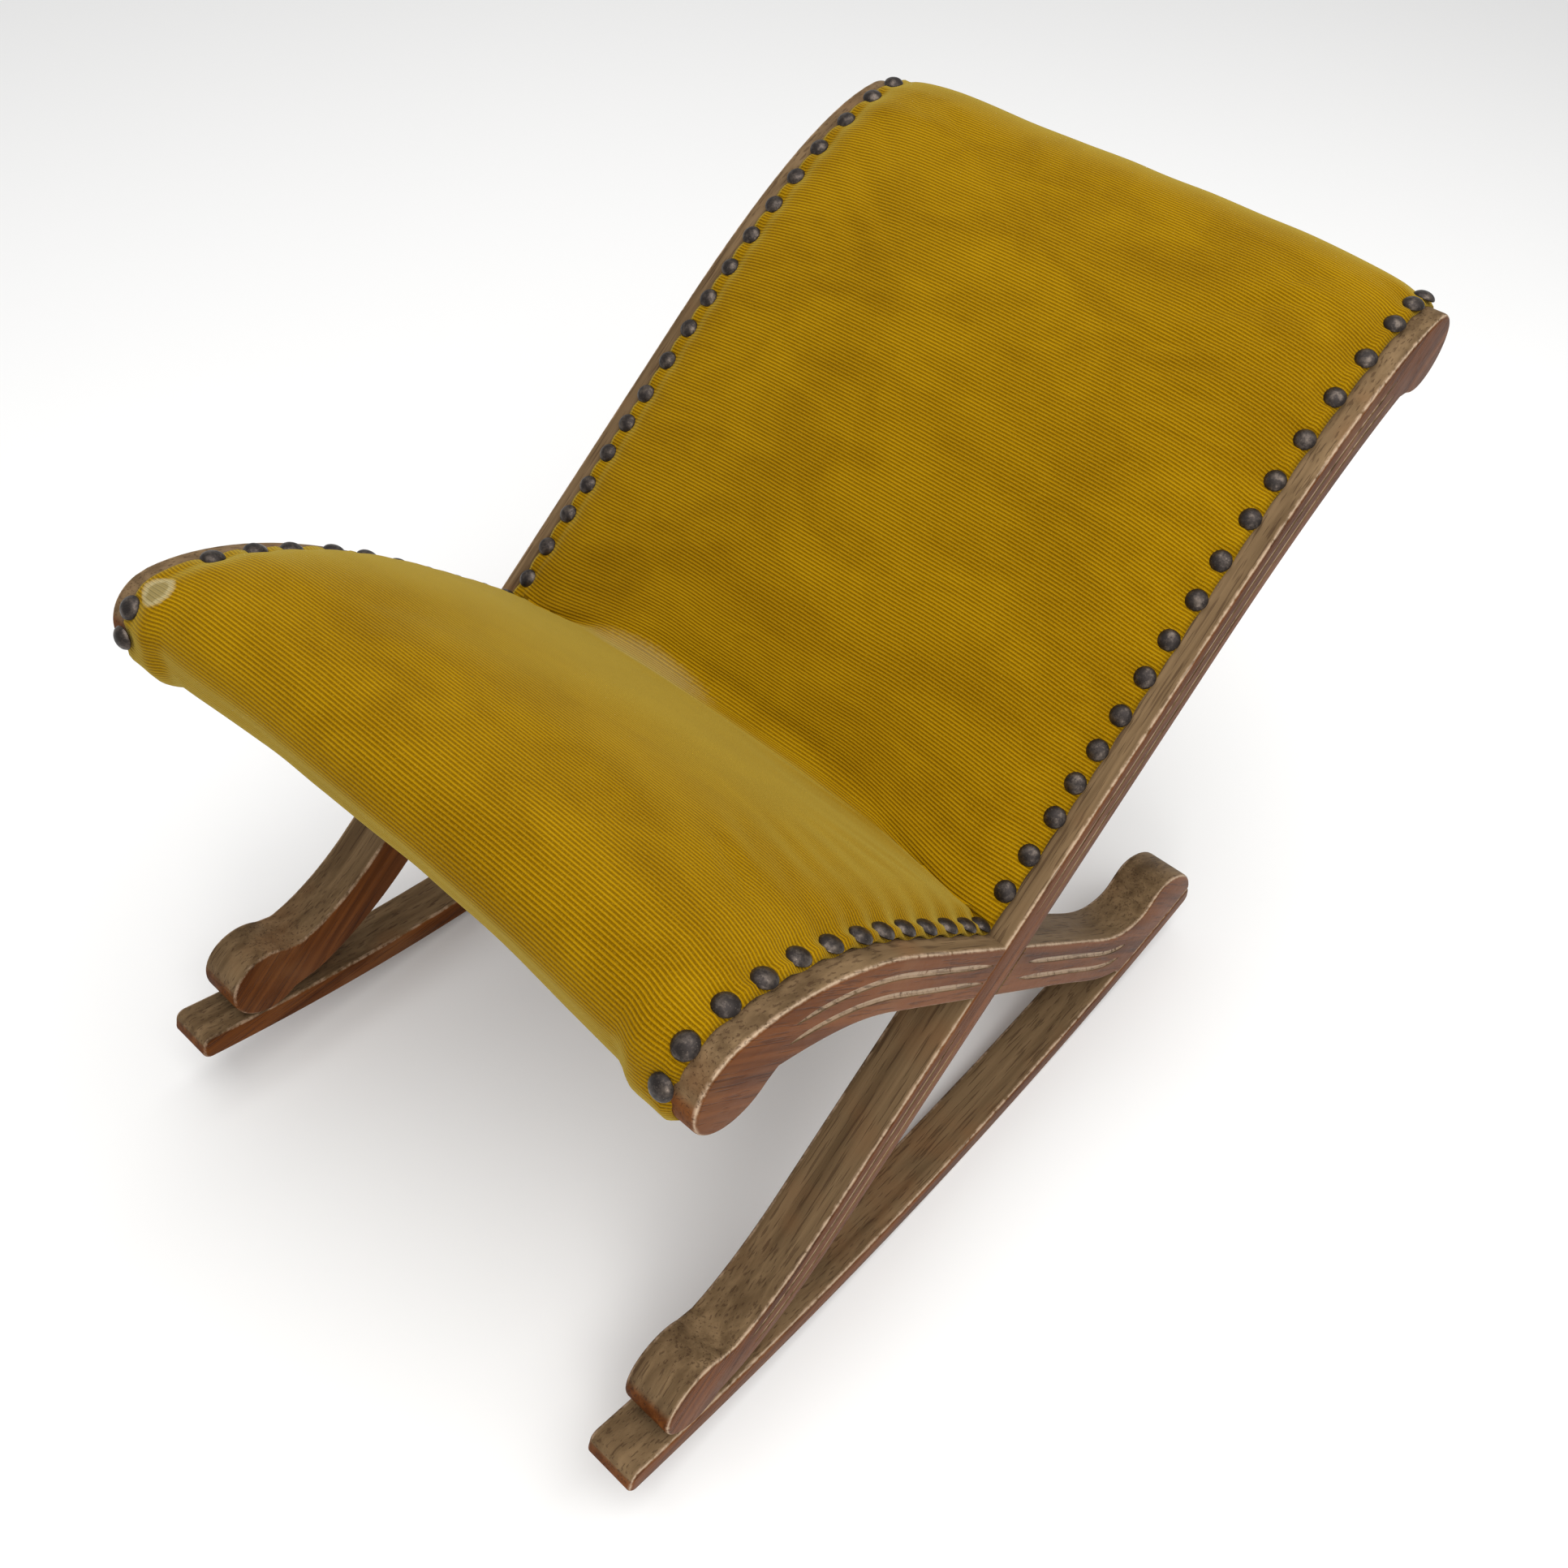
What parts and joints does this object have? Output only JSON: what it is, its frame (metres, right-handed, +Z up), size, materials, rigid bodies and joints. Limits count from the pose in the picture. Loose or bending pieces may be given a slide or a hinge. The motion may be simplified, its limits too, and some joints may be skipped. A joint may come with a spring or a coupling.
{
  "type": "rocking footstool",
  "caption": "Rocking gout stool: two crossed walnut side frames on curved rockers, with a gold velvet seat and raised leg rest edged in brass nails.",
  "frame": {"origin": "middle of the overall width and length, on the floor", "axes": "+X across the stool to the right as seen from the front, +Y from the low front to the tall back, +Z up"},
  "size_m": [0.35, 0.5647, 0.4093],
  "materials": {
    "polished_walnut": "old polish, satin, worn at the edges",
    "beech": "plain, unpolished",
    "screw_steel": "dull",
    "jute_webbing": "coarse weave",
    "hessian": "open plain weave",
    "stuffing_fibre": "matted fibre",
    "gold_velvet": "ribbed pile",
    "antique_brass": "dark, aged, semi-bright"
  },
  "bodies": {
    "root": {"long_rail_left": "polished_walnut", "long_rail_right": "polished_walnut", "seat_rail_left": "polished_walnut", "seat_rail_right": "polished_walnut", "rocker_left": "polished_walnut", "rocker_right": "polished_walnut", "crossing_peg_left": "beech", "crossing_peg_right": "beech", "rocker_screw_front_left": "screw_steel", "rocker_screw_front_right": "screw_steel", "rocker_screw_rear_left": "screw_steel", "rocker_screw_rear_right": "screw_steel", "front_rail": "beech", "middle_rail": "beech", "top_rail": "beech", "dowel_front_left_1": "beech", "dowel_front_left_2": "beech", "dowel_front_right_1": "beech", "dowel_front_right_2": "beech", "dowel_middle_left_1": "beech", "dowel_middle_left_2": "beech", "dowel_middle_right_1": "beech", "dowel_middle_right_2": "beech", "dowel_top_left_1": "beech", "dowel_top_left_2": "beech", "dowel_top_right_1": "beech", "dowel_top_right_2": "beech", "webbing_seat_1": "jute_webbing", "webbing_seat_2": "jute_webbing", "webbing_back_1": "jute_webbing", "webbing_back_2": "jute_webbing", "webbing_back_3": "jute_webbing", "webbing_back_4": "jute_webbing", "canvas": "hessian", "stuffing": "stuffing_fibre", "cover": "gold_velvet", "back_nails_left": "antique_brass", "back_nails_right": "antique_brass", "seat_nails_left": "antique_brass", "seat_nails_right": "antique_brass"}
  },
  "joints": []
}
